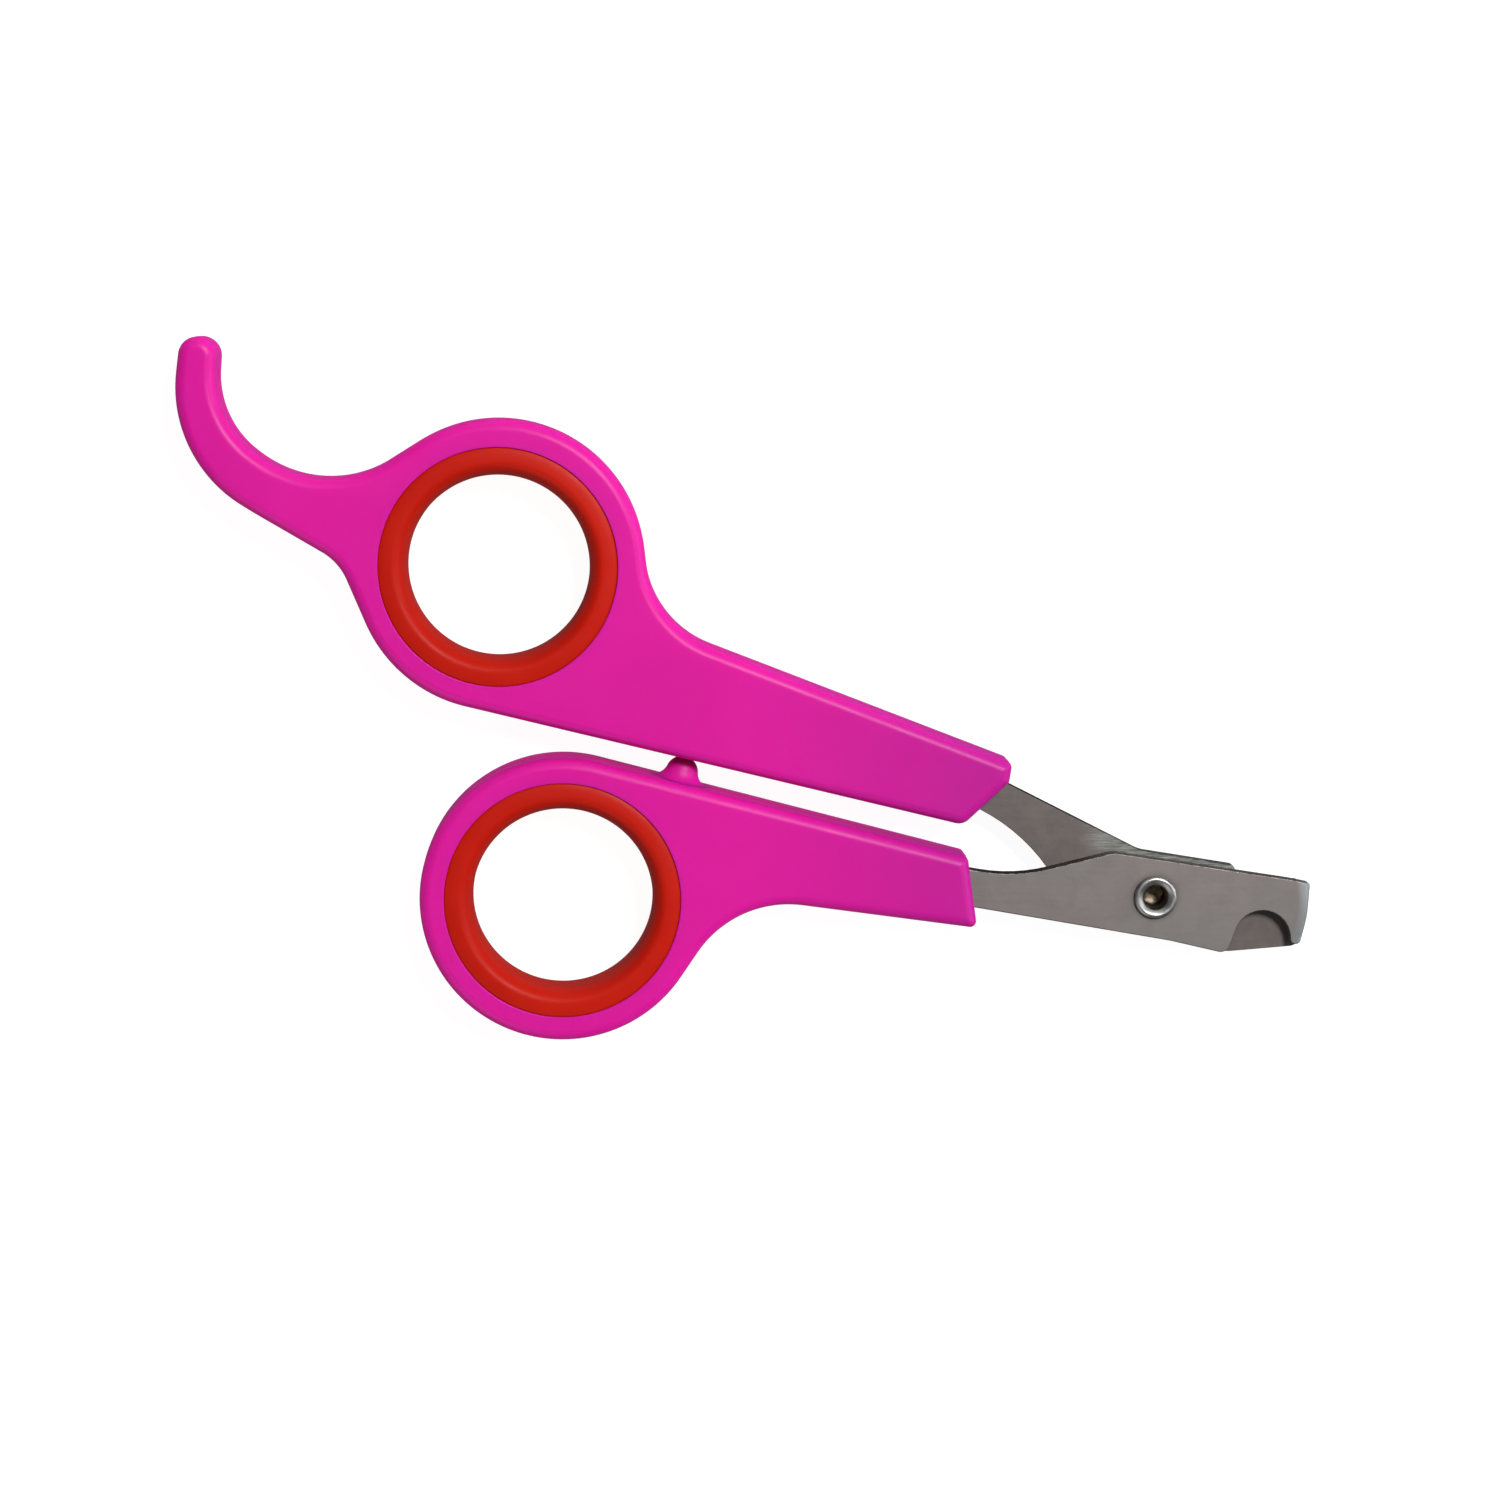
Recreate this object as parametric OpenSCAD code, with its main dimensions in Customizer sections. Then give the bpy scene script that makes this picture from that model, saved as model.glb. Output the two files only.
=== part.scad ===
// Pet nail trimmer: two scissor halves turning on one hollow rivet.
// Units are millimetres.  The part lies flat, closed on its stop.
// Origin: on the rivet axis, in the plane where the two blades meet.
// +X runs from the handles towards the jaws, +Y towards the finger handle,
// +Z out of the front face, along the rivet.

/* [Handles] */
// Thickness of both moulded handles
handle_thickness = 8; // [7.4:0.2:10]
// Rounding radius of the handle edges
edge_round = 1.3; // [0.8:0.1:1.4]
// Outer radius of the two eyes
eye_r = 16.3; // [15.8:0.1:16.3]
// Radius of the hollow under the hook, where a finger rests
hook_hollow_r = 12.85; // [12.55:0.05:12.9]
// Radius of the rounded hook tip
hook_tip_r = 2.15; // [1.8:0.05:2.15]

/* [Soft ring grips] */
// Outer radius of the soft ring where it shows
grip_r = 13.5; // [13.2:0.1:14]
// Radius of the finger hole
hole_r = 10.3; // [9.6:0.1:10.8]
// Length of the straight middle part of the finger hole
land_length = 2.4; // [1.6:0.2:3]
// Radius of the handle rib that the soft ring clips over
rib_r = 12.2; // [11.8:0.1:12.6]
// Thickness of that rib
rib_thickness = 3; // [2:0.2:3.6]
// Depth of the soft ring below the handle faces at its outer edge
grip_shoulder = 0.3; // [0.2:0.1:0.8]

/* [Blades] */
// Thickness of each stamped steel blade
blade_thickness = 1.8; // [1.4:0.1:2]
// Bevel along the outer edges of the blades
blade_bevel = 0.3; // [0.1:0.05:0.4]
// Radius of the nail notch in the front jaw
front_notch_r = 3.25; // [3.1:0.05:3.3]
// Radius of the nail notch in the rear jaw
rear_notch_r = 2.8; // [2.5:0.05:2.9]
// Gap between the two blades
blade_gap = 0.03; // [0.02:0.01:0.06]
// Radius of the hole in each tang that locks it in the plastic
lock_hole_r = 1.2; // [1:0.1:1.4]

/* [Pivot rivet] */
// Radius of the rivet shank
shank_r = 1.75; // [1.6:0.05:1.9]
// Radial running gap between the shank and the rear blade
running_gap = 0.04; // [0.02:0.01:0.08]
// Radius of the hollow in the rivet
rivet_bore_r = 1.35; // [1.2:0.05:1.4]
// Radius of the flared front end
flare_r = 2.5; // [2.4:0.05:2.8]
// Height of the flared front end above the blade
flare_height = 0.6; // [0.4:0.05:0.8]
// Radius of the rear head
head_r = 3.1; // [2.8:0.1:3.6]
// Height of the rear head
head_height = 0.9; // [0.7:0.1:1.2]

/* [Stop] */
// Radius of the domed stop bump on the thumb handle
stop_r = 1.85; // [1.6:0.05:2]
// Gap left at the stop when the trimmer is closed
stop_gap = 0.03; // [0.02:0.01:0.1]
// Radius of the fillet around the foot of the bump
stop_fillet = 1.8; // [1.4:0.1:1.9]

/* [Hidden] */

plastic = [0.84, 0.13, 0.58];
soft = [0.75, 0.16, 0.11];
steel = [0.49, 0.47, 0.46];
rivet_steel = [0.62, 0.60, 0.58];

arc_step = 10;
least_r = 0.15;
through = 20;
half = handle_thickness / 2;
finger_eye = [-75.2, 38.4];
thumb_eye = [-68.2, 0.35];
rear_top = -blade_gap;
rear_back = rear_top - blade_thickness;
head_top = rear_back - blade_gap;

// Outlines are closed chains of circles [x, y, r] joined by their common
// tangents, counter-clockwise.  A negative r is a hollow corner.

finger_corner = [-22.9, 10.5, 1.65];
hook_hollow = [-94.2, 61.27];
hook_neck = [-96.0, 59.65];
hook_neck_r = hook_hollow_r - 2.38;
hook_end_x = -110.62;

finger_outline = [
    finger_corner,
    [-17.75, 13.9, 0.65],
    [-17.63, 15.28, 0.75],
    [-47.0, 40.0, -11.6],
    [finger_eye[0], finger_eye[1], eye_r + 0.3],
    [hook_hollow[0], hook_hollow[1], -hook_hollow_r],
    [hook_neck[0], hook_neck[1], -hook_neck_r],
    [hook_end_x + hook_tip_r, 62.07, hook_tip_r],
    [-95.73, 58.31, 15.27],
    [-90.77, 63.33, 22.15],
    [-98.3, 34.45, -6.55],
    [finger_eye[0] + 0.02, finger_eye[1], eye_r]
];

thumb_corner = [-22.53, 4.33, 0.8];

thumb_outline = [
    [-21.5, -2.47, 0.7],
    thumb_corner,
    [thumb_eye[0], thumb_eye[1], eye_r],
    [-42.45, -12.8, -12.4]
];

front_notch = [12.47, -4.93];
front_prong_r = 0.6;

front_outline = [
    [6.16, -0.54, 11.6],
    [17.6, 1.23, 0.3],
    [15.07, -0.23, 2.23],
    [-4.75, 1.8, 3.32],
    [-16.85, 22.32, -19.47],
    [-43.0, 5.3, 1.8],
    [-43.0, 4.7, 1.5],
    [-22.5, 0.49, 1.27],
    [1.22, -7.74, -2.67],
    [7.68, -5.38, 1.12],
    [front_notch[0], front_notch[1], -front_notch_r],
    [front_notch[0] + front_notch_r + front_prong_r + 0.06, -5.03, front_prong_r]
];

rear_notch = [13.1, 1.15];
rear_prong_r = 0.6;

rear_outline = [
    [rear_notch[0] + rear_notch_r + rear_prong_r + 0.1, 0.95, rear_prong_r],
    [rear_notch[0], rear_notch[1], -rear_notch_r],
    [8.94, 2.89, 0.51],
    [-0.26, 9.24, -4.25],
    [-21.57, 13.96, 1.27],
    [-42.0, 19.8, 1.6],
    [-30.19, -9.32, -21.79],
    [-6.12, -0.94, 2.72],
    [8.9, -3.76, 2.97],
    [15.91, -4.87, 1.31]
];

finger_lock = [-33.0, 16.6];
thumb_lock = [-36.0, 3.9];

// ---- outline geometry ----

// Angle brought into the range 0 to 360.
function wrap(a) = a - 360 * floor(a / 360);

// Direction of the outward normal of the tangent that leaves circle i.
function leave_angle(o, i) =
    let (a = o[i], b = o[(i + 1) % len(o)])
    let (gap = norm([b[0] - a[0], b[1] - a[1]]))
    atan2(b[1] - a[1], b[0] - a[0]) - acos((a[2] - b[2]) / gap);

// Angle swept on circle i, negative on a hollow corner.
function sweep(o, i) =
    let (a0 = leave_angle(o, (i + len(o) - 1) % len(o)), a1 = leave_angle(o, i))
    o[i][2] < 0 ? -wrap(a0 - a1) : wrap(a1 - a0);

// Points of the outline moved inwards by inset, at height z.  A corner that
// is smaller than the inset keeps the radius least_r and its centre moves in.
function ring(o, inset, z) = [
    for (i = [0 : len(o) - 1])
        let (a0 = leave_angle(o, (i + len(o) - 1) % len(o)), s = sweep(o, i))
        let (r = o[i][2] - inset, short = o[i][2] > 0 ? max(0, least_r - r) : 0)
        let (shift = short / cos(s / 2), mid = a0 + s / 2)
        let (x = o[i][0] - shift * cos(mid), y = o[i][1] - shift * sin(mid))
        let (n = max(1, ceil(abs(s) / arc_step)))
        for (k = [0 : n])
            let (t = a0 + s * k / n)
            [x + (r + short) * cos(t), y + (r + short) * sin(t), z]
];

// Twice the signed area of triangle a, b, c.
function turn(a, b, c) = (b[0] - a[0]) * (c[1] - a[1]) - (b[1] - a[1]) * (c[0] - a[0]);

function covers(a, b, c, p) = turn(a, b, p) >= 0 && turn(b, c, p) >= 0 && turn(c, a, p) >= 0;

// True where the corner k of the polygon ids can be cut off.
function is_ear(p, ids, k) =
    let (n = len(ids), u = (k + n - 1) % n, v = (k + 1) % n)
    let (a = p[ids[u]], b = p[ids[k]], c = p[ids[v]])
    turn(a, b, c) > 0 &&
    len([for (j = [0 : n - 1]) if (j != k && j != u && j != v && covers(a, b, c, p[ids[j]])) 1]) == 0;

function next_ear(p, ids, k) = is_ear(p, ids, k % len(ids)) ? k % len(ids) : next_ear(p, ids, k + 1);

// Triangles that fill the polygon ids, counter-clockwise seen from above.
function fill(p, ids, k = 0, done = []) =
    len(ids) == 3 ? concat(done, [ids]) :
    let (n = len(ids), e = next_ear(p, ids, k))
    let (t = [ids[(e + n - 1) % n], ids[e], ids[(e + 1) % n]])
    fill(p, [for (j = [0 : n - 1]) if (j != e) ids[j]], e + 1, concat(done, [t]));

// Closed solid through rings given as [inset, z], from the bottom up.
module stack(o, levels) {
    n = len(ring(o, 0, 0));
    m = len(levels);
    points = [for (l = levels) each ring(o, l[0], l[1])];
    sides = [
        for (k = [0 : m - 2])
            for (i = [0 : n - 1])
                let (j = (i + 1) % n)
                [k * n + i, (k + 1) * n + i, (k + 1) * n + j, k * n + j]
    ];
    bottom = fill(points, [for (i = [0 : n - 1]) i]);
    top = fill(points, [for (i = [0 : n - 1]) (m - 1) * n + i]);
    upper = [for (t = top) [t[2], t[1], t[0]]];
    polyhedron(points = points, faces = concat(bottom, sides, upper), convexity = 10);
}

// Levels of a plate with both edges rounded by e in 3 steps.
function rounded(h, e) = concat(
    [for (k = [0 : 3]) [e * (1 - sin(30 * k)), -h + e * (1 - cos(30 * k))]],
    [for (k = [3 : -1 : 0]) [e * (1 - sin(30 * k)), h - e * (1 - cos(30 * k))]]
);

// ---- blades ----

module front_plate() {
    levels = [
        [0, 0],
        [0, blade_thickness - blade_bevel],
        [blade_bevel, blade_thickness]
    ];
    stack(front_outline, levels);
}

module rear_plate() {
    levels = [
        [blade_bevel, rear_back],
        [0, rear_back + blade_bevel],
        [0, rear_top]
    ];
    stack(rear_outline, levels);
}

module hole(at, r) {
    translate([at[0], at[1], -through])
        cylinder(r = r, h = 2 * through, $fn = 96);
}

module front_blade() {
    color(steel)
        difference() {
            front_plate();
            hole([0, 0], shank_r);
            hole(thumb_lock, lock_hole_r);
        }
}

module rear_blade() {
    color(steel)
        difference() {
            rear_plate();
            hole([0, 0], shank_r + running_gap);
            hole(finger_lock, lock_hole_r);
        }
}

// ---- handles ----

// Space for a tang in the plastic, with the plug that fills its hole.
module pocket(o, z, lock) {
    difference() {
        translate([0, 0, z])
            linear_extrude(height = blade_thickness)
                polygon([for (p = ring(o, 0, 0)) [p[0], p[1]]]);
        hole(lock, lock_hole_r);
    }
}

// Seat of the soft ring: a rib in the middle, a step on each face.
module eye_cut(at) {
    rt = rib_thickness / 2;
    translate([at[0], at[1], 0])
        rotate([0, 0, 17])
            rotate_extrude($fn = 180)
                polygon([
                    [0, -through],
                    [grip_r, -through],
                    [grip_r, -rt],
                    [rib_r, -rt],
                    [rib_r, rt],
                    [grip_r, rt],
                    [grip_r, through],
                    [0, through]
                ]);
}

module finger_handle() {
    color(plastic)
        difference() {
            stack(finger_outline, rounded(half, edge_round));
            eye_cut(finger_eye);
            pocket(rear_outline, rear_back, finger_lock);
        }
}

// Stop bump: a dome on the upper edge of the thumb handle, reaching to
// within stop_gap of the finger handle.
down = leave_angle([[finger_eye[0], finger_eye[1], eye_r], finger_corner], 0);
up = leave_angle([thumb_corner, [thumb_eye[0], thumb_eye[1], eye_r]], 0);
stop_x = -54.5;
stop_reach = finger_corner[2] + stop_gap + stop_r;
stop_y = finger_corner[1] + (stop_reach - (stop_x - finger_corner[0]) * cos(down)) / sin(down);
stop_side = (stop_x - thumb_corner[0]) * cos(up) + (stop_y - thumb_corner[1]) * sin(up);
stop_lift = stop_side - thumb_corner[2];
stop_rise = stop_fillet - 0.06;
stop_foot = sqrt(pow(stop_r + stop_fillet, 2) - pow(stop_rise - stop_lift, 2));
stop_turn = asin((stop_rise - stop_lift) / (stop_r + stop_fillet));
stop_section = concat(
    [[0, -1], [stop_foot, -1]],
    [
        for (k = [0 : 5])
            let (t = 270 - (90 - stop_turn) * k / 5)
            [stop_foot + stop_fillet * cos(t), stop_rise + stop_fillet * sin(t)]
    ],
    [
        for (k = [1 : 6])
            let (t = stop_turn + (90 - stop_turn) * k / 6)
            [stop_r * cos(t), stop_lift + stop_r * sin(t)]
    ]
);

// The foot is narrower across the handle edge than along it.
module stop_bump() {
    translate([stop_x - stop_lift * cos(up), stop_y - stop_lift * sin(up), 0])
        rotate([0, 90, up])
            scale([0.76, 1, 1])
                rotate_extrude($fn = 60)
                    polygon(stop_section);
}

module thumb_handle() {
    color(plastic)
        union() {
            difference() {
                stack(thumb_outline, rounded(half, edge_round));
                eye_cut(thumb_eye);
                pocket(front_outline, 0, thumb_lock);
            }
            stop_bump();
        }
}

// ---- soft ring grips ----

// Half section: straight land in the hole, round crown, groove on the rib.
grip_edge = half - grip_shoulder;
grip_mid = (hole_r + grip_r) / 2;
crown = [
    for (k = [0 : 10])
        let (t = 180 * k / 10)
        let (z = k < 5 ? land_length / 2 : grip_edge)
        [grip_mid - (grip_r - hole_r) / 2 * cos(t), z + (half - z) * sin(t)]
];
grip_section = concat(
    crown,
    [[grip_r, rib_thickness / 2], [rib_r, rib_thickness / 2]],
    [[rib_r, -rib_thickness / 2], [grip_r, -rib_thickness / 2]],
    [for (k = [10 : -1 : 0]) [crown[k][0], -crown[k][1]]]
);

module soft_ring(at) {
    translate([at[0], at[1], 0])
        rotate_extrude($fn = 180)
            polygon(grip_section);
}

module finger_ring_grip() {
    color(soft)
        soft_ring(finger_eye);
}

module thumb_ring_grip() {
    color(soft)
        soft_ring(thumb_eye);
}

// ---- rivet ----

module pivot_rivet() {
    bt = blade_thickness;
    fh = flare_height;
    color(rivet_steel)
        rotate_extrude($fn = 120)
            polygon([
                [0, head_top - head_height],
                [head_r * 0.62, head_top - head_height],
                [head_r * 0.84, head_top - head_height * 0.86],
                [head_r * 0.96, head_top - head_height * 0.58],
                [head_r, head_top - head_height * 0.3],
                [head_r, head_top],
                [shank_r, head_top],
                [shank_r, bt],
                [flare_r, bt],
                [flare_r, bt + fh * 0.2],
                [flare_r - 0.08, bt + fh * 0.55],
                [flare_r - 0.22, bt + fh * 0.85],
                [flare_r - 0.4, bt + fh],
                [flare_r - 0.55, bt + fh * 0.96],
                [rivet_bore_r + 0.12, bt + fh * 0.45],
                [rivet_bore_r + 0.03, bt + fh * 0.2],
                [rivet_bore_r, bt - 0.4],
                [rivet_bore_r, -1.1],
                [0, -1.5]
            ]);
}

finger_handle();
thumb_handle();
finger_ring_grip();
thumb_ring_grip();
rear_blade();
front_blade();
pivot_rivet();
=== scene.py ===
import bpy
import math
import numpy as np
from mathutils import Matrix, Vector
from mathutils.geometry import delaunay_2d_cdt


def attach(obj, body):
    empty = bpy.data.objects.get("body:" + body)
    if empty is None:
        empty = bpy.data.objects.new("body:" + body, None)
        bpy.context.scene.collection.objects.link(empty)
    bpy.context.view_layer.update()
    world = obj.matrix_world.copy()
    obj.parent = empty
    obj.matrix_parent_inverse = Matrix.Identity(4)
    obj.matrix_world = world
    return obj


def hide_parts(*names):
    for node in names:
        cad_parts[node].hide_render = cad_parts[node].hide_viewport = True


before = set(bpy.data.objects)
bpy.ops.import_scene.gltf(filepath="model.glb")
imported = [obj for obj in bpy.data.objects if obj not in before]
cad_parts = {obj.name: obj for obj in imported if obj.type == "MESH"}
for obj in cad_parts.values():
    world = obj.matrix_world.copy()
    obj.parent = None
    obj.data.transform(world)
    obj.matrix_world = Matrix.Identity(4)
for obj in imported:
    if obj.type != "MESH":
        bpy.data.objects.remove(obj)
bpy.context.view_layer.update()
MM = 0.001

# ---------------------------------------------------------------- sizes, in mm
HALF = 4.0              # half thickness of the handles
EDGE = 1.3              # edge radius of the handles
EYE_R = 16.3            # outside of the eyes
SEAT_R = 13.5           # seat of the soft ring in the eye
RIB_R = 12.2            # rib round the middle of the seat
RIB_HALF = 1.5
BORE_R = 10.3           # finger hole in the soft ring
BLADE = 1.8             # thickness of each blade
BACK_TOP = -0.03        # faces of the rear blade
BACK_LOW = BACK_TOP - BLADE
SHANK_R = 1.75          # shank of the rivet
LEAST = 0.15            # least corner radius left by an inset
STEP = 2.5              # degrees between points on the corners of the handles
BLADE_STEP = 4
SPAN = 2.0              # longest straight face

# ---------------------------------------------------------------- outlines
# Closed chains of circles (x, y, r) in mm joined by common tangents, counter-clockwise.
# A circle with r < 0 is a hollow corner.
FINGER_EYE = (-75.2, 38.4)
THUMB_EYE = (-68.2, 0.35)

finger_outline = [
    (-22.9, 10.5, 1.65),
    (-17.75, 13.9, 0.65),
    (-17.63, 15.28, 0.75),
    (-47.0, 40.0, -11.6),
    (FINGER_EYE[0], FINGER_EYE[1], 16.6),
    (-94.2, 61.27, -12.85),
    (-96.0, 59.65, -10.47),
    (-108.47, 62.07, 2.15),
    (-95.73, 58.31, 15.27),
    (-90.77, 63.33, 22.15),
    (-98.3, 34.45, -6.55),
    (FINGER_EYE[0] + 0.02, FINGER_EYE[1], EYE_R),
]
thumb_outline = [
    (-21.5, -2.47, 0.7),
    (-22.53, 4.33, 0.8),
    (THUMB_EYE[0], THUMB_EYE[1], EYE_R),
    (-42.45, -12.8, -12.4),
]
front_outline = [
    (6.16, -0.54, 11.6),
    (17.6, 1.23, 0.3),
    (15.07, -0.23, 2.23),
    (-4.75, 1.8, 3.32),
    (-16.85, 22.32, -19.47),
    (-43.0, 5.3, 1.8),
    (-43.0, 4.7, 1.5),
    (-22.5, 0.49, 1.27),
    (1.22, -7.74, -2.67),
    (7.68, -5.38, 1.12),
    (12.47, -4.93, -3.25),
    (16.38, -5.03, 0.6),
]
rear_outline = [
    (16.6, 0.95, 0.6),
    (13.1, 1.15, -2.8),
    (8.94, 2.89, 0.51),
    (-0.26, 9.24, -4.25),
    (-21.57, 13.96, 1.27),
    (-42.0, 19.8, 1.6),
    (-30.19, -9.32, -21.79),
    (-6.12, -0.94, 2.72),
    (8.9, -3.76, 2.97),
    (15.91, -4.87, 1.31),
]


def leave(outline, i):
    """Angle in degrees, seen from circle i, at which the outline leaves it for the next circle."""
    a, b = outline[i], outline[(i + 1) % len(outline)]
    gap = math.hypot(b[0] - a[0], b[1] - a[1])
    along = math.degrees(math.atan2(b[1] - a[1], b[0] - a[0]))
    return along - math.degrees(math.acos((a[2] - b[2]) / gap))


def trace(outline, step):
    """Points of an outline as rows [cx, cy, r, angle, px, py], where (px, py) is the way the centre of a
    corner moves in when the inset is larger than its radius."""
    rows = []
    for i, (x, y, r) in enumerate(outline):
        start, end = leave(outline, i - 1 if i else len(outline) - 1), leave(outline, i)
        sweep = -((start - end) % 360) if r < 0 else (end - start) % 360
        length = abs(math.radians(sweep) * r)
        n = max(2, int(math.ceil(abs(sweep) / step)), int(math.ceil(length / SPAN)))
        mid = math.radians(start + sweep / 2)
        half = math.cos(math.radians(sweep / 2))
        pull = (math.cos(mid) / half, math.sin(mid) / half)
        for k in range(n + 1):
            rows.append((x, y, r, math.radians(start + sweep * k / n)) + pull)
        # the straight run to the next circle, split so that no face is very long
        b = outline[(i + 1) % len(outline)]
        c, d = math.cos(math.radians(end)), math.sin(math.radians(end))
        p = (x + r * c, y + r * d)
        q = (b[0] + b[2] * c, b[1] + b[2] * d)
        m = int(math.hypot(q[0] - p[0], q[1] - p[1]) / SPAN)
        for k in range(1, m):
            t = k / m
            at = (p[0] * (1 - t) + q[0] * t, p[1] * (1 - t) + q[1] * t)
            rows.append(at + (0.0, math.radians(end), 0.0, 0.0))
    return np.array(rows)


def inside(poly, x, y):
    px, py = poly[:, 0], poly[:, 1]
    qx, qy = np.roll(px, -1), np.roll(py, -1)
    cross = (py > y) != (qy > y)
    with np.errstate(divide="ignore", invalid="ignore"):
        at = (qx - px) * (y - py) / (qy - py) + px
    return bool(np.count_nonzero(cross & (x < at)) % 2)


# ---------------------------------------------------------------- mesh tools
HOLE_SIDES = 48         # fewest sides of a round hole, and sides for each mm of its radius
SIDES_PER_MM = 16
CAP_CLOSE = 1e-7        # points of a cap nearer than this are one
SHARP = 32              # degrees between two faces of a turned body that leave an edge between them


class Builder:
    """Collects vertices, faces and one normal per face corner, in mm."""

    def __init__(self):
        self.v, self.f, self.n = [], [], []

    def ring(self, pts):
        k = len(self.v)
        self.v.extend([tuple(p) for p in pts])
        return list(range(k, k + len(pts)))

    def face(self, ids, normals):
        self.f.append(tuple(ids))
        self.n.extend([tuple(n) for n in normals])

    def make(self, name, material):
        me = bpy.data.meshes.new(name)
        me.from_pydata([tuple(c * MM for c in p) for p in self.v], [], self.f)
        me.polygons.foreach_set("use_smooth", [True] * len(self.f))
        me.normals_split_custom_set(self.n)
        me.materials.append(material)
        ob = bpy.data.objects.new(name, me)
        bpy.context.scene.collection.objects.link(ob)
        return ob


def circle(m):
    """m angles round a circle, and the unit vectors at them."""
    a = np.arange(m) * 2 * math.pi / m
    return a, np.stack([np.cos(a), np.sin(a)], 1)


def tilted(d, deg):
    """Normals along the flat directions d, tilted up by deg degrees."""
    a = math.radians(deg)
    return np.c_[d * math.cos(a), np.full(len(d), math.sin(a))]


def band(b, lower, upper, nl, nu):
    """Quads between two rings of equal length; nl and nu are the normals at the lower and upper ring."""
    n = len(lower)
    for i in range(n):
        j = (i + 1) % n
        b.face((lower[i], lower[j], upper[j], upper[i]), (nl[i], nl[j], nu[j], nu[i]))


def cap(b, loops, up):
    """Flat triangles over loops [(vertex ids, points)]: the outline first, and then its holes."""
    normal = (0.0, 0.0, 1.0 if up else -1.0)
    ids = [i for loop, _ in loops for i in loop]
    points = [Vector((float(p[0]), float(p[1]))) for _, ps in loops for p in ps]
    edges, k = [], 0
    for loop, _ in loops:
        n = len(loop)
        edges += [(k + i, k + (i + 1) % n) for i in range(n)]
        k += n
    out, _, tris, sources, _, _ = delaunay_2d_cdt(points, edges, [], 1, CAP_CLOSE)
    source = [s[0] if s else -1 for s in sources]
    for tri in tris:
        if len(tri) != 3 or min(source[i] for i in tri) < 0:
            continue
        x = sum(out[i][0] for i in tri) / 3
        y = sum(out[i][1] for i in tri) / 3
        if any(inside(hole, x, y) for _, hole in loops[1:]):
            continue
        q = [ids[source[i]] for i in tri]
        a, e, f = (np.array(b.v[i][:2]) for i in q)
        double = (e[0] - a[0]) * (f[1] - a[1]) - (e[1] - a[1]) * (f[0] - a[0])
        if (double > 0) != up:
            q.reverse()
        b.face(q, (normal, normal, normal))


def plate(b, outline, levels, hole, step):
    """Plate from levels (inset, z, tilt below, tilt above), bottom up, with flat caps and one round hole.
    The hole is (x, y, rings) with rings (r, z, tilt above, tilt below), top down."""
    rows = trace(outline, step)
    c, r, t, pull = rows[:, :2], rows[:, 2:3], rows[:, 3], rows[:, 4:]
    d = np.stack([np.cos(t), np.sin(t)], 1)
    rings, pts = [], []
    for inset, z, _, _ in levels:
        short = np.where(r > 0, np.maximum(0, LEAST + inset - r), 0)
        p = c + (r - inset + short) * d - short * pull
        pts.append(p)
        rings.append(b.ring(np.c_[p, np.full(len(p), z)]))
    for k in range(len(levels) - 1):
        band(b, rings[k], rings[k + 1], tilted(d, levels[k][3]), tilted(d, levels[k + 1][2]))
    x, y, prof = hole
    m = max(HOLE_SIDES, int(prof[0][0] * SIDES_PER_MM))
    _, e = circle(m)
    walls = [b.ring(np.c_[x + q[0] * e[:, 0], y + q[0] * e[:, 1], np.full(m, q[1])]) for q in prof]
    for k in range(len(prof) - 1):
        band(b, walls[k], walls[k + 1], tilted(-e, prof[k][3]), tilted(-e, prof[k + 1][2]))
    centre = np.array([x, y])
    cap(b, [(rings[0], pts[0]), (walls[-1], centre + prof[-1][0] * e)], False)
    cap(b, [(rings[-1], pts[-1]), (walls[0], centre + prof[0][0] * e)], True)


def lathe(b, x, y, prof, m, closed=True):
    """Turned body about the upright axis at x, y. prof rows (r, z), anticlockwise in the r, z plane."""
    a, e = circle(m)
    p = np.array(prof, float)
    n = len(p)
    segs = [(i, (i + 1) % n) for i in range(n if closed else n - 1)]
    face_n = []
    for i, j in segs:
        dr, dz = p[j] - p[i]
        length = math.hypot(dr, dz) or 1.0
        face_n.append(np.array([dz / length, -dr / length]))

    def smooth(k, other):
        if other is None or float(np.dot(face_n[k], face_n[other])) < math.cos(math.radians(SHARP)):
            return face_n[k]
        s = face_n[k] + face_n[other]
        return s / np.linalg.norm(s)

    rings = []
    for r, z in p:
        if r < 1e-6:
            rings.append(b.ring([(x, y, z)]) * m)
        else:
            rings.append(b.ring(np.c_[x + r * e[:, 0], y + r * e[:, 1], np.full(m, z)]))
    for k, (i, j) in enumerate(segs):
        before = (k - 1) % len(segs) if (closed or k > 0) else None
        after = (k + 1) % len(segs) if (closed or k < len(segs) - 1) else None
        ni, nj = smooth(k, before), smooth(k, after)
        for s in range(m):
            u = (s + 1) % m
            quad = [(rings[i][s], a[s], ni), (rings[i][u], a[u], ni)]
            quad += [(rings[j][u], a[u], nj), (rings[j][s], a[s], nj)]
            seen, keep = set(), []
            for vid, ang, nn in quad:
                if vid not in seen:
                    seen.add(vid)
                    keep.append((vid, (nn[0] * math.cos(ang), nn[0] * math.sin(ang), nn[1])))
            if len(keep) > 2:
                b.face([q[0] for q in keep], [q[1] for q in keep])


def ease(e, n):
    """Quarter round of radius e as rows (inset, depth, turn in degrees), from its start on the flat."""
    turns = np.linspace(0, math.pi / 2, n + 1)
    return [(e * (1 - math.sin(t)), e * (1 - math.cos(t)), math.degrees(t)) for t in turns]


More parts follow.
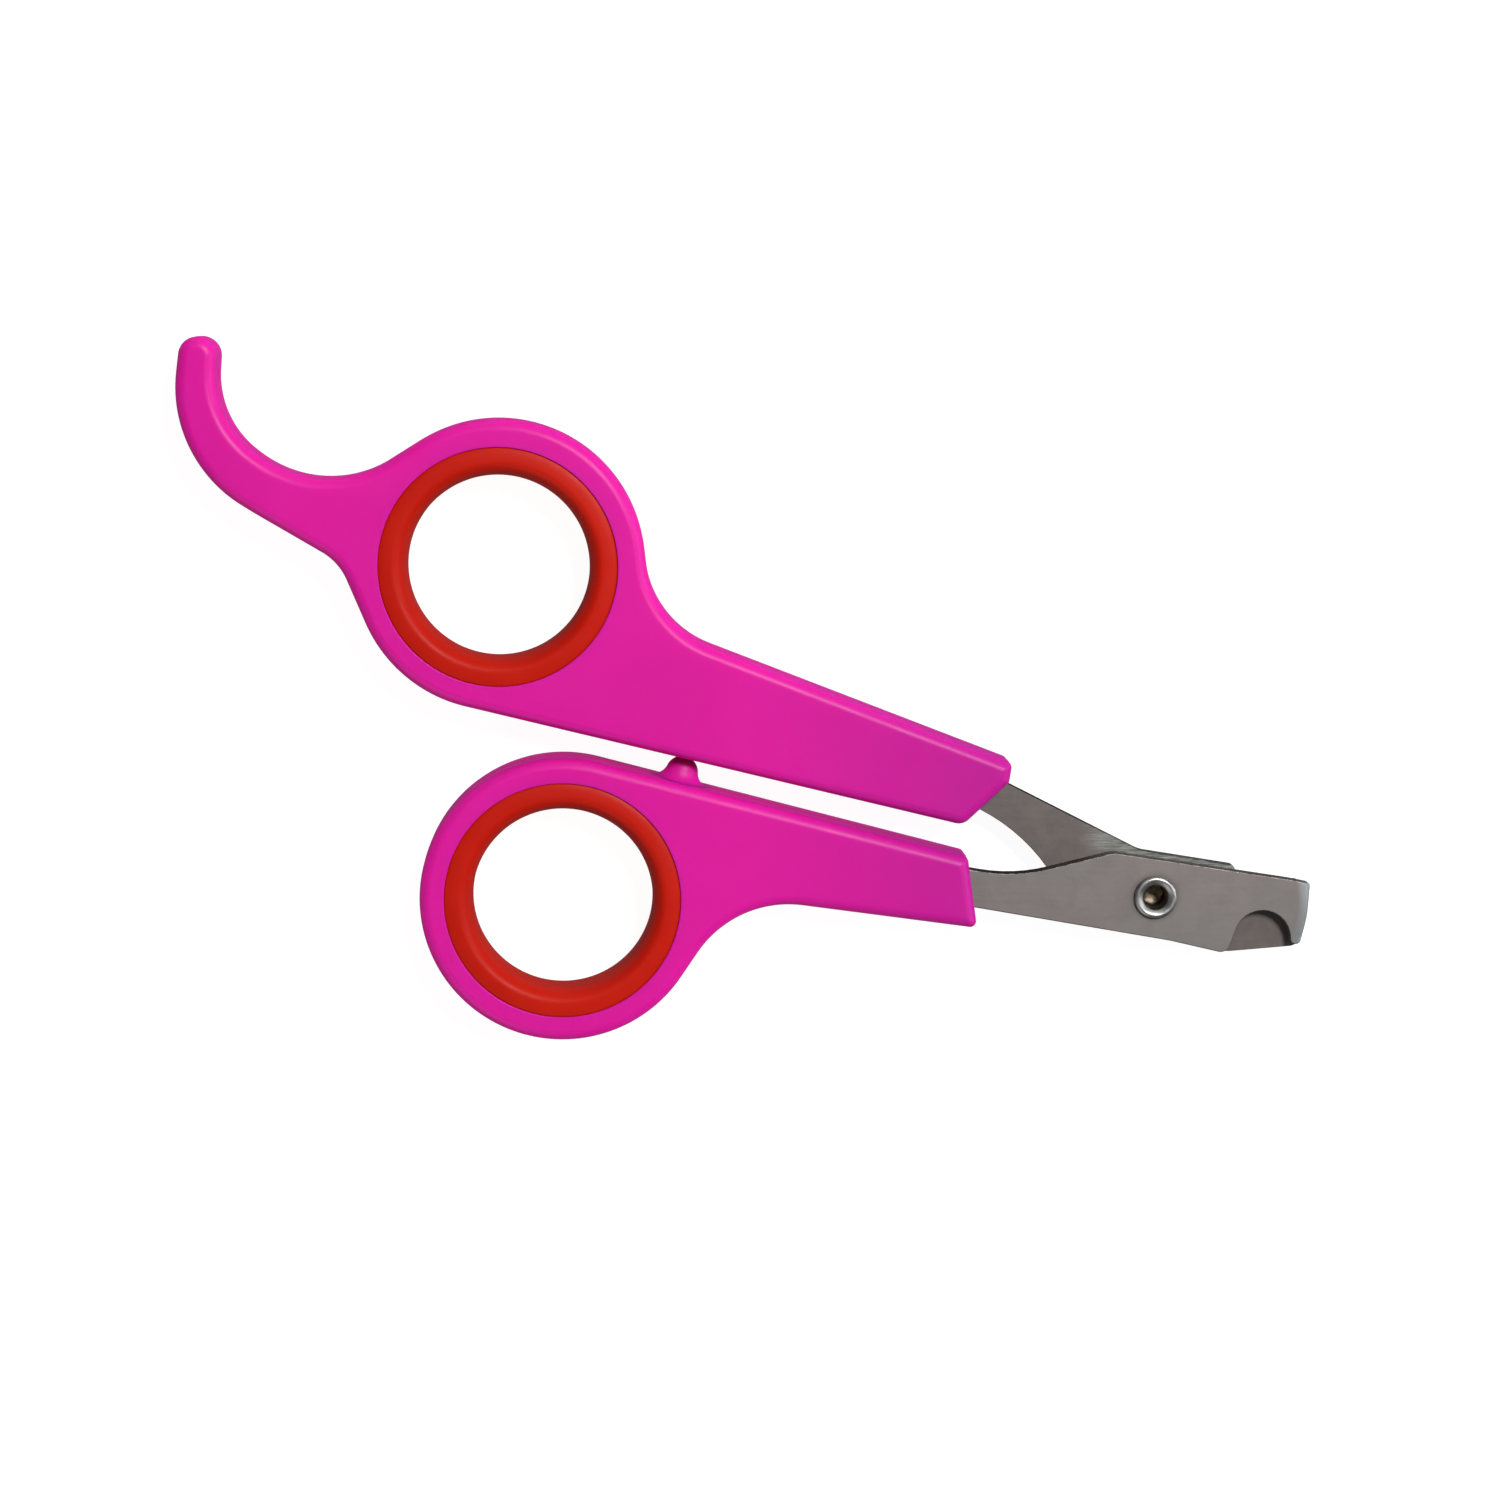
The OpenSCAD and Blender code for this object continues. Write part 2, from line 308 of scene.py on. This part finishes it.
def elbow(x, z, rx, rz, a0, a1, n):
    """n points of an ellipse round (x, z), from angle a0 to a1 in degrees."""
    turns = [math.radians(a) for a in np.linspace(a0, a1, n)]
    return [(x + rx * math.cos(t), z + rz * math.sin(t)) for t in turns]


# ---------------------------------------------------------------- materials
# Colours are linear. Noise scales are per metre, and places and distances are in metres.
MAGENTA = ((0.516, 0.0058, 0.240, 1), (0.540, 0.0068, 0.254, 1), (0.563, 0.0078, 0.268, 1))
MAGENTA_PAINTED_SHADE = (0.400, 0.0085, 0.228, 1)
RED = ((0.355, 0.0062, 0.0015, 1), (0.388, 0.0076, 0.0021, 1), (0.421, 0.0095, 0.0028, 1))
CLOUD_STOPS = (0.25, 0.5, 0.75)
FRONT_STEEL = (0.209, 0.188, 0.180)
REAR_STEEL = (0.153, 0.131, 0.124)
STEEL_DARK = (0.94, 0.945, 0.95)
STEEL_LIGHT = (1.045, 1.05, 1.05)
WARM = (1.0, 0.965, 0.955, 1)
COOL = (0.96, 0.985, 0.975, 1)
RIVET_PAINTED_SHADE = (0.05, 0.045, 0.04, 1)
GROUND_PATCH = (0.50, 0.52, 0.47, 1)
LIP_PAINTED_REFLECTION = (0.30, 0.315, 0.32, 1)
RIDGE_PAINTED_HIGHLIGHTS = ((0.125, 0.125, 0.115, 1), (0.28, 0.285, 0.26, 1))
JAW_WALL_PAINTED_LIGHT = ((0.42, 0.43, 0.40, 1), (1.0, 1.04, 1.0, 1))
TANG_WALL_PAINTED_SHADE = (0.21, 0.22, 0.20, 1)
WHITE = (1, 1, 1, 1)
RIVET_TONES = ((0.27, 0.265, 0.26, 1), (0.36, 0.36, 0.355, 1))
HOLLOW_TONES = ((0.050, 0.036, 0.024, 1), (0.22, 0.18, 0.13, 1))
PAPER_TONES = ((0.15, 0.15, 0.15, 1), (0.16, 0.16, 0.16, 1))

DARKER_FROM, DARKER_TO = -0.046, -0.019       # painted shade: the handles darken along X towards the blades
TANG_END, JAW_START = -0.009, -0.003          # the painted light on the walls and the spine changes along X from tang to jaw
RIDGE_START, RIDGE_FULL = 0.0006, 0.0014      # the spine's grinding streaks along Y, painted lighter as painted highlights
RIVET_SHADE_FULL, RIVET_SHADE_END = 0.0024, 0.0031          # painted shade round the rivet, by radius
GROUND_AT = (-0.0048, 0.0064, 0)
LIP_FROM_X = 0.0115
NOSE = front_outline[0]
NOSE_AT = (NOSE[0] * MM, NOSE[1] * MM, 0)
LIP_START, LIP_FULL = (NOSE[2] - 1.2) * MM, (NOSE[2] - 0.05) * MM
HOLLOW_IN, HOLLOW_OUT = 0.00138, 0.00150      # the rivet's darker, brownish hollow, by radius and by height
HOLLOW_LOW, HOLLOW_HIGH = -0.0019, -0.0015


class Material:
    """A node material round one Principled shader, with helpers that each add a node and give its output."""

    def __init__(self, name):
        self.data = bpy.data.materials.new(name)
        self.data.use_nodes = True
        self.tree = self.data.node_tree
        self.tree.nodes.clear()
        out = self.node("ShaderNodeOutputMaterial")
        self.shader = self.node("ShaderNodeBsdfPrincipled")
        self.link(self.shader.outputs[0], out.inputs[0])
        self.at = self.node("ShaderNodeTexCoord").outputs["Object"]

    def node(self, kind, **props):
        n = self.tree.nodes.new(kind)
        for k, v in props.items():
            setattr(n, k, v)
        return n

    def link(self, a, b):
        self.tree.links.new(a, b)

    def to(self, socket, value):
        self.link(value, self.shader.inputs[socket])

    def set(self, **values):
        for k, v in values.items():
            self.shader.inputs[k.replace("_", " ")].default_value = v

    def place(self, scale, turn):
        """Object coordinates scaled by scale and turned about Z by turn degrees."""
        n = self.node("ShaderNodeMapping")
        n.inputs["Scale"].default_value = scale
        n.inputs["Rotation"].default_value = (0, 0, math.radians(turn))
        self.link(self.at, n.inputs["Vector"])
        return n.outputs[0]

    def noise(self, scale, detail, rough, at=None, distortion=0.0):
        n = self.node("ShaderNodeTexNoise")
        n.inputs["Scale"].default_value = scale
        n.inputs["Detail"].default_value = detail
        n.inputs["Roughness"].default_value = rough
        n.inputs["Distortion"].default_value = distortion
        self.link(at or self.at, n.inputs["Vector"])
        return n.outputs["Fac"]

    def span(self, fac, lo, hi, a=0.3, b=0.7):
        """fac from a to b becomes lo to hi, and is held beyond."""
        n = self.node("ShaderNodeMapRange")
        for k, v in (("From Min", a), ("From Max", b), ("To Min", lo), ("To Max", hi)):
            n.inputs[k].default_value = v
        self.link(fac, n.inputs["Value"])
        return n.outputs[0]

    def ramp(self, fac, stops, colours):
        n = self.node("ShaderNodeValToRGB")
        el = n.color_ramp.elements
        while len(el) < len(stops):
            el.new(0.5)
        for e, stop, colour in zip(el, stops, colours):
            e.position = stop
            e.color = colour
        self.link(fac, n.inputs[0])
        return n.outputs[0]

    def math(self, op, a, b=0):
        n = self.node("ShaderNodeMath", operation=op)
        for s, v in zip(n.inputs, (a, b)):
            if isinstance(v, (int, float)):
                s.default_value = v
            else:
                self.link(v, s)
        return n.outputs[0]

    def mix(self, fac, a, b, mode="MIX"):
        n = self.node("ShaderNodeMix", data_type="RGBA", blend_type=mode)
        for s, v in ((n.inputs[0], fac), (n.inputs[6], a), (n.inputs[7], b)):
            if isinstance(v, (int, float, tuple)):
                s.default_value = v
            else:
                self.link(v, s)
        return n.outputs[2]

    def apart(self, at, weights=(1, 1, 0)):
        """Distance from the point at, with each axis weighted."""
        n = self.node("ShaderNodeVectorMath", operation="SUBTRACT")
        self.link(self.at, n.inputs[0])
        n.inputs[1].default_value = at
        k = self.node("ShaderNodeVectorMath", operation="MULTIPLY")
        self.link(n.outputs[0], k.inputs[0])
        k.inputs[1].default_value = weights
        d = self.node("ShaderNodeVectorMath", operation="LENGTH")
        self.link(k.outputs[0], d.inputs[0])
        return d.outputs["Value"]

    def axis(self, vector, i):
        n = self.node("ShaderNodeSeparateXYZ")
        self.link(vector, n.inputs[0])
        return n.outputs[i]

    def flatness(self):
        """1 on the faces of a plate, 0 on its edges."""
        normal = self.node("ShaderNodeTexCoord").outputs["Normal"]
        return self.math("ABSOLUTE", self.axis(normal, 2))

    def bump(self, height, strength, distance, normal=None):
        n = self.node("ShaderNodeBump")
        n.inputs["Strength"].default_value = strength
        n.inputs["Distance"].default_value = distance
        self.link(height, n.inputs["Height"])
        if normal:
            self.link(normal, n.inputs["Normal"])
        return n.outputs[0]


def plastic_material():
    m = Material("moulded_magenta")
    cloud = m.noise(45, 3, 0.55)
    body = m.ramp(cloud, CLOUD_STOPS, MAGENTA)
    along = m.math("ADD", m.axis(m.at, 0), m.span(cloud, -0.003, 0.003))
    # painted shade: the handles turn darker and more violet towards the blades
    shade_towards_blades = m.span(along, 0.0, 1.0, DARKER_FROM, DARKER_TO)
    m.to("Base Color", m.mix(shade_towards_blades, body, MAGENTA_PAINTED_SHADE))
    smear = m.noise(160, 4, 0.6, distortion=0.4)
    fine = m.noise(2600, 3, 0.6)
    m.to("Roughness", m.math("ADD", m.span(smear, 0.37, 0.44), m.span(fine, -0.02, 0.02)))
    ripple = m.bump(m.noise(210, 2, 0.45), 0.12, 0.00012)
    m.to("Normal", m.bump(fine, 0.10, 0.00002, ripple))
    m.set(IOR=1.24, Subsurface_Weight=0.5, Subsurface_Radius=(1.0, 0.15, 0.4), Subsurface_Scale=0.003)
    return m.data


def rubber_material():
    m = Material("soft_red_grip")
    cloud = m.noise(70, 3, 0.55)
    m.to("Base Color", m.ramp(cloud, CLOUD_STOPS, RED))
    m.to("Roughness", m.span(m.noise(400, 4, 0.6), 0.40, 0.50))
    ripple = m.bump(m.noise(190, 2, 0.5), 0.2, 0.00012)
    m.to("Normal", m.bump(m.noise(3800, 4, 0.65), 0.22, 0.00003, ripple))
    m.set(IOR=1.19)
    return m.data


def scaled(tone, by):
    return tuple(t * k for t, k in zip(tone, by)) + (1,)


def steel_material(name, turn, tone, rough, front):
    """Satin steel with its grain turned by turn degrees. Only the front blade has the eased lip, painted
    lighter as a painted reflection, and the painted shade round the rivet, and only the rear one has
    grinding streaks on its spine, painted lighter as painted highlights."""
    m = Material(name)
    grain = m.noise(120, 5, 0.65, m.place((1, 14, 14), turn))
    blot = m.noise(330, 4, 0.6, distortion=0.5)
    speck = m.noise(1700, 3, 0.7)
    streak = m.noise(420, 3, 0.7, m.place((1, 16, 16), 10))
    tones = (scaled(tone, STEEL_DARK), tone + (1,), scaled(tone, STEEL_LIGHT))
    base = m.ramp(blot, (0.28, 0.5, 0.72), tones)
    warm = m.mix(m.span(m.noise(60, 2, 0.5), 0.0, 1.0), WARM, COOL)
    base = m.mix(1.0, base, warm, "MULTIPLY")
    ahead = m.span(m.axis(m.at, 0), 0.0, 1.0, TANG_END, JAW_START)

    if front:
        # painted shade: a dark ring on the front blade round the rivet
        rivet_shade = m.span(m.apart((0, 0, 0)), 1.0, 0.0, RIVET_SHADE_FULL, RIVET_SHADE_END)
        base = m.mix(m.math("MULTIPLY", rivet_shade, 0.35), base, RIVET_PAINTED_SHADE)
        lip = m.span(m.apart(NOSE_AT), 0.0, 1.0, LIP_START, LIP_FULL)
        lip = m.math("MULTIPLY", lip, m.math("GREATER_THAN", m.axis(m.at, 0), LIP_FROM_X))
        # painted reflection: the eased lip is painted lighter and bluer
        base = m.mix(lip, base, LIP_PAINTED_REFLECTION)
    else:
        ragged = m.span(blot, -0.0004, 0.0004)
        ground = m.math("ADD", m.apart(GROUND_AT, (0.5, 1, 0)), ragged)
        base = m.mix(m.span(ground, 0.36, 0.0, 0.0004, 0.0019), base, GROUND_PATCH)
        # painted highlight: lighter, greener grinding streaks on the rear blade's upper strip
        ridge_highlight = m.mix(m.span(streak, 0.0, 1.0, 0.42, 0.62), *RIDGE_PAINTED_HIGHLIGHTS)
        upper = m.span(m.axis(m.at, 1), 0.0, 1.0, RIDGE_START, RIDGE_FULL)
        base = m.mix(m.math("MULTIPLY", ahead, upper), base, ridge_highlight)

    # edge is 1 on the faces and falls off, with nicks, on the eased edges and the walls, where it sets
    # painted shade and rougher steel
    flat = m.flatness()
    nick = m.noise(1100, 3, 0.6)
    edge = m.math("ADD", flat, m.span(nick, -0.16, 0.02, 0.35, 0.62))
    edge = m.span(edge, 0.22, 1.0, 0.72, 0.98)
    edge = m.math("MAXIMUM", edge, m.span(flat, 0.0, 1.0, 0.985, 0.999))
    # painted light on the walls: streaks of painted highlight at the jaw, painted shade on the tang
    wall = m.mix(m.span(streak, 0.0, 1.0, 0.40, 0.60), *JAW_WALL_PAINTED_LIGHT)
    wall = m.mix(ahead, TANG_WALL_PAINTED_SHADE, wall)
    # painted shade: the eased edges and walls are darkened in the colour
    painted_edge_shade = m.mix(m.span(edge, 0.0, 1.0, 0.22, 1.0), wall, WHITE)
    m.to("Base Color", m.mix(1.0, base, painted_edge_shade, "MULTIPLY"))

    rub = m.math("ADD", m.span(blot, *rough), m.span(grain, -0.02, 0.02))
    rub = m.math("ADD", rub, m.span(speck, -0.025, 0.025))
    m.to("Roughness", m.math("ADD", rub, m.span(edge, 0.18, 0.0, 0.22, 1.0)))
    height = m.bump(grain, 0.14, 0.00003, m.bump(speck, 0.16, 0.00002))
    if front:
        height = m.bump(m.math("MULTIPLY", m.math("POWER", lip, 1.8), -1.0), 1.0, 0.00018, height)
    m.to("Normal", height)
    m.set(Metallic=1.0)
    return m.data


def rivet_material():
    m = Material("plated_rivet")
    blot = m.noise(900, 4, 0.6)
    hollow = m.span(m.apart((0, 0, 0)), 1.0, 0.0, HOLLOW_IN, HOLLOW_OUT)
    hollow = m.math("MULTIPLY", hollow, m.span(m.axis(m.at, 2), 0.0, 1.0, HOLLOW_LOW, HOLLOW_HIGH))
    plating = m.ramp(blot, (0.3, 0.7), RIVET_TONES)
    # the hollow is coloured darker and browner
    hollow_colour = m.ramp(m.noise(1500, 3, 0.6), (0.35, 0.62), HOLLOW_TONES)
    m.to("Base Color", m.mix(hollow, plating, hollow_colour))
    m.to("Roughness", m.math("ADD", m.span(blot, 0.40, 0.50), m.math("MULTIPLY", hollow, 0.05)))
    m.to("Normal", m.bump(m.noise(1800, 3, 0.6), 0.12, 0.00003))
    m.set(Metallic=1.0)
    return m.data


def floor_material():
    m = Material("pale_paper")
    m.to("Base Color", m.ramp(m.noise(6, 2, 0.5), (0.3, 0.7), PAPER_TONES))
    m.set(Roughness=0.9, Specular_IOR_Level=0.1, Emission_Color=WHITE, Emission_Strength=0.95)
    return m.data


magenta = plastic_material()
red = rubber_material()
steel_front = steel_material("satin_steel_front", 10, FRONT_STEEL, (0.52, 0.56), True)
steel_rear = steel_material("satin_steel_rear", 26, REAR_STEEL, (0.48, 0.52), False)
plated = rivet_material()

# ---------------------------------------------------------------- handles
SEAM = 0.03             # the parting line stands this proud, over SEAM_HALF each way
SEAM_HALF = 0.04
SEAM_LIP = 0.14         # and runs out this far from the middle
SEAM_TILT = 35
STOP_X = -54.5          # stop bump on the thumb handle
STOP_R = 1.85
STOP_FILLET = 1.8
STOP_SINK = 0.06        # the fillet's foot lies this far below the edge
STOP_ROOT = 1.0
STOP_FLAT = 0.76        # width across the handle's thickness, as a share of its width along the edge
STOP_GAP = 0.03         # left between the bump and the finger handle when closed


def rounded_levels():
    """Levels of a handle, with round edges and a fine parting line."""
    low = [(i, -HALF + d, a - 90) for i, d, a in ease(EDGE, 8)]
    rows = [(i, z, a, a) for i, z, a in low]
    rows += [(0, -SEAM_LIP, 0, -SEAM_TILT), (-SEAM, -SEAM_HALF, -SEAM_TILT, 0)]
    rows += [(-SEAM, SEAM_HALF, 0, SEAM_TILT), (0, SEAM_LIP, SEAM_TILT, 0)]
    rows += [(i, -z, -a, -a) for i, z, a in reversed(low)]
    return rows


def eye_hole(x, y):
    """Seat of the soft ring: eased mouth, wall, rib, wall, eased mouth."""
    mouth = [(SEAT_R + i, HALF - d, 90 - a) for i, d, a in ease(0.1, 4)]
    rows = [(r, z, a, a) for r, z, a in mouth]
    rows += [(SEAT_R, RIB_HALF, 0, 90), (RIB_R, RIB_HALF, 90, 0)]
    rows += [(RIB_R, -RIB_HALF, 0, -90), (SEAT_R, -RIB_HALF, -90, 0)]
    rows += [(r, -z, -a, -a) for r, z, a in reversed(mouth)]
    return (x, y, rows)


def stop_bump(b):
    """Round stop on the upper edge of the thumb handle, flattened across the handle and filleted into it."""
    arm, heel = finger_outline[0], thumb_outline[1]
    down = math.radians(leave([(*FINGER_EYE, EYE_R), arm], 0))
    up = math.radians(leave(thumb_outline, 1))
    reach = arm[2] + STOP_GAP + STOP_R - (STOP_X - arm[0]) * math.cos(down)
    stop_y = arm[1] + reach / math.sin(down)
    lift = (STOP_X - heel[0]) * math.cos(up) + (stop_y - heel[1]) * math.sin(up) - heel[2]
    rise = STOP_FILLET - STOP_SINK
    foot = math.sqrt((STOP_R + STOP_FILLET) ** 2 - (rise - lift) ** 2)
    bend = math.asin((rise - lift) / (STOP_R + STOP_FILLET))
    dome = [(0.0, -STOP_ROOT), (foot, -STOP_ROOT)]
    for t in np.linspace(1.5 * math.pi, math.pi + bend, 11):
        dome.append((foot + STOP_FILLET * math.cos(t), rise + STOP_FILLET * math.sin(t)))
    for t in np.linspace(bend, math.pi / 2, 13)[1:-1]:
        dome.append((STOP_R * math.cos(t), lift + STOP_R * math.sin(t)))
    dome.append((0.0, lift + STOP_R))
    first, count = len(b.v), len(b.n)
    lathe(b, 0, 0, dome, 64, closed=False)
    # the dome is turned about Z, then laid over so that its axis points out of the edge
    ux, uy = math.cos(up), math.sin(up)
    ex, ey = -uy, ux
    root = (STOP_X - lift * ux, stop_y - lift * uy)
    for i in range(first, len(b.v)):
        x, y, z = b.v[i]
        b.v[i] = (root[0] + x * ex + z * ux, root[1] + x * ey + z * uy, STOP_FLAT * y)
    for i in range(count, len(b.n)):
        x, y, z = b.n[i]
        b.n[i] = Vector((x * ex + z * ux, x * ey + z * uy, y / STOP_FLAT)).normalized()[:]


b = Builder()
plate(b, finger_outline, rounded_levels(), eye_hole(*FINGER_EYE), STEP)
finger_handle = b.make("finger_handle_shell", magenta)
b = Builder()
plate(b, thumb_outline, rounded_levels(), eye_hole(*THUMB_EYE), STEP)
stop_bump(b)
thumb_handle = b.make("thumb_handle_shell", magenta)

# ---------------------------------------------------------------- soft ring grips
GRIP_INNER_Z = 1.2      # the crown starts here on the finger hole and at GRIP_OUTER_Z on the seat
GRIP_OUTER_Z = 3.7
GROOVE_GAP = 0.02       # left between the ring's groove and the rib


def grip_profile():
    middle, half = (BORE_R + SEAT_R) / 2, (SEAT_R - BORE_R) / 2
    top = [(BORE_R, GRIP_INNER_Z)]
    for t in np.linspace(0, math.pi, 25)[1:-1]:
        z = GRIP_INNER_Z if t < math.pi / 2 else GRIP_OUTER_Z
        top.append((middle - half * math.cos(t), z + (HALF - z) * math.sin(t)))
    top.append((SEAT_R, GRIP_OUTER_Z))
    groove_r, groove = RIB_R + GROOVE_GAP, RIB_HALF - GROOVE_GAP
    prof = [(SEAT_R, -RIB_HALF), (groove_r, -groove), (groove_r, groove), (SEAT_R, RIB_HALF)]
    return prof + top[::-1] + [(r, -z) for r, z in top]


def soft_ring(name, x, y):
    b = Builder()
    lathe(b, x, y, grip_profile(), 160)
    return b.make(name, red)


finger_grip = soft_ring("finger_grip_skin", *FINGER_EYE)
thumb_grip = soft_ring("thumb_grip_skin", *THUMB_EYE)

# ---------------------------------------------------------------- blades
BLADE_EASE = 0.13       # radius of the outer edges
BLADE_BREAK = 0.05      # chamfer of the edges where the blades meet
REAR_BORE_R = 1.79


def blade_levels(low, high, eased_top):
    """Levels of a blade, with its outer edges rounded and the edges at the other blade slightly broken."""
    rows = ease(BLADE_EASE, 4)
    if eased_top:
        levels = [(BLADE_BREAK, low, -90, -45), (0, low + BLADE_BREAK, -45, 0)]
        return levels + [(i, high - d, 90 - a, 90 - a) for i, d, a in reversed(rows)]
    levels = [(i, low + d, -90 + a, -90 + a) for i, d, a in rows]
    return levels + [(0, high - BLADE_BREAK, 0, 45), (BLADE_BREAK, high, 45, 90)]


def blade(name, outline, low, high, bore_r, material):
    b = Builder()
    bore = (0.0, 0.0, [(bore_r, high, 90, 0), (bore_r, low, 0, -90)])
    plate(b, outline, blade_levels(low, high, low >= 0), bore, BLADE_STEP)
    return b.make(name, material)


front_blade = blade("front_blade_skin", front_outline, 0.0, BLADE, SHANK_R, steel_front)
rear_blade = blade("rear_blade_skin", rear_outline, BACK_LOW, BACK_TOP, REAR_BORE_R, steel_rear)

# ---------------------------------------------------------------- rivet
HEAD_Z = BACK_LOW - 0.03
HEAD_H = 0.9
HEAD_R = 3.1
HEAD_BREAK = 0.06
HEAD_FLAT_R = 1.9
HOLLOW_R = 1.35

# low domed head at the back, shank, rolled crown at the front, funnel, and the hollow down to its floor
prof = [(0.0, HEAD_Z - HEAD_H), (HEAD_FLAT_R, HEAD_Z - HEAD_H)]
prof += elbow(HEAD_FLAT_R, HEAD_Z - 0.32, HEAD_R - HEAD_FLAT_R, HEAD_H - 0.32, -80, 0, 9)
prof += [(HEAD_R, HEAD_Z - HEAD_BREAK), (HEAD_R - HEAD_BREAK, HEAD_Z)]
prof += [(SHANK_R, HEAD_Z), (SHANK_R, BLADE + 0.02)]
prof += elbow(2.08, BLADE + 0.12, 0.42, 0.48, 0, 100, 14)
funnel = [(1.90, 0.56), (1.74, 0.46), (1.58, 0.35), (1.48, 0.24), (1.41, 0.08), (1.37, -0.15)]
prof += [(r, BLADE + z) for r, z in funnel]
prof += [(HOLLOW_R, BLADE - 0.7), (HOLLOW_R, -0.8)]
prof += [(1.28, -0.95), (1.1, -1.08), (0.7, -1.2), (0.0, -1.3)]
b = Builder()
lathe(b, 0, 0, prof, 96, closed=False)
rivet = b.make("pivot_rivet_skin", plated)

# ---------------------------------------------------------------- riding on the frame
for piece, body, node, slot in (
    (finger_handle, "finger_half", "finger_handle", "handle_plastic"),
    (thumb_handle, "thumb_half", "thumb_handle", "handle_plastic"),
    (finger_grip, "finger_half", "finger_ring_grip", "soft_grip"),
    (thumb_grip, "thumb_half", "thumb_ring_grip", "soft_grip"),
    (rear_blade, "finger_half", "rear_blade", "blade_steel"),
    (front_blade, "thumb_half", "front_blade", "blade_steel"),
    (rivet, "thumb_half", "pivot_rivet", "rivet_steel"),
):
    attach(piece, body)
    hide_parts(node)

# ---------------------------------------------------------------- stage and light, in metres
FLOOR_HALF = 3.0
FLOOR_Z = -HALF * MM - 0.00002
MIDDLE = (-0.045, 0.02, 0)    # what the lights point at

corners = [(-1, -1), (1, -1), (1, 1), (-1, 1)]
me = bpy.data.meshes.new("floor")
me.from_pydata([(x * FLOOR_HALF, y * FLOOR_HALF, FLOOR_Z) for x, y in corners], [], [(0, 1, 2, 3)])
me.materials.append(floor_material())
floor = bpy.data.objects.new("floor", me)
bpy.context.scene.collection.objects.link(floor)
floor.visible_glossy = False


def area(name, at, size, power, color=(1, 1, 1)):
    li = bpy.data.lights.new(name, "AREA")
    li.energy = power
    li.color = color
    li.size = size
    ob = bpy.data.objects.new(name, li)
    ob.location = at
    ob.rotation_euler = (Vector(MIDDLE) - Vector(at)).to_track_quat("-Z", "Y").to_euler()
    bpy.context.scene.collection.objects.link(ob)


area("key", (0.225, 0.36, 0.70), 0.20, 8.2)
area("side", (0.75, 0.10, 0.35), 0.35, 2.7, (0.86, 0.92, 1.0))
area("top", (-0.15, 0.75, 0.25), 0.5, 0.5)
area("fill", (-0.45, -0.62, 0.45), 0.5, 1.8)

world = bpy.data.worlds.new("world")
bpy.context.scene.world = world
world.use_nodes = True
background = world.node_tree.nodes["Background"]
background.inputs["Color"].default_value = (0.96, 0.98, 1.0, 1)
background.inputs["Strength"].default_value = 0.12

# ---------------------------------------------------------------- camera, in mm
CAMERA_AT = (-61.5756, 69.1092, 400.0)
CAMERA_AIM = (-46.6776, 17.0808, 0.0)
VIEW_WIDTH = 171.9      # width of the view at the aim
SENSOR = 36

camera_at = Vector(CAMERA_AT) * MM
aim = Vector(CAMERA_AIM) * MM
ahead = (aim - camera_at).normalized()
right = ahead.cross(Vector((0, 1, 0))).normalized()
above = right.cross(ahead)
lens = bpy.data.cameras.new("camera")
lens.sensor_width = SENSOR
lens.lens = (aim - camera_at).length / MM * SENSOR / VIEW_WIDTH
lens.clip_start = 0.01
camera = bpy.data.objects.new("camera", lens)
turn = Matrix((right, above, -ahead)).transposed().to_4x4()
camera.matrix_world = Matrix.Translation(camera_at) @ turn
bpy.context.scene.collection.objects.link(camera)
bpy.context.scene.camera = camera
bpy.context.scene.view_settings.view_transform = "Standard"
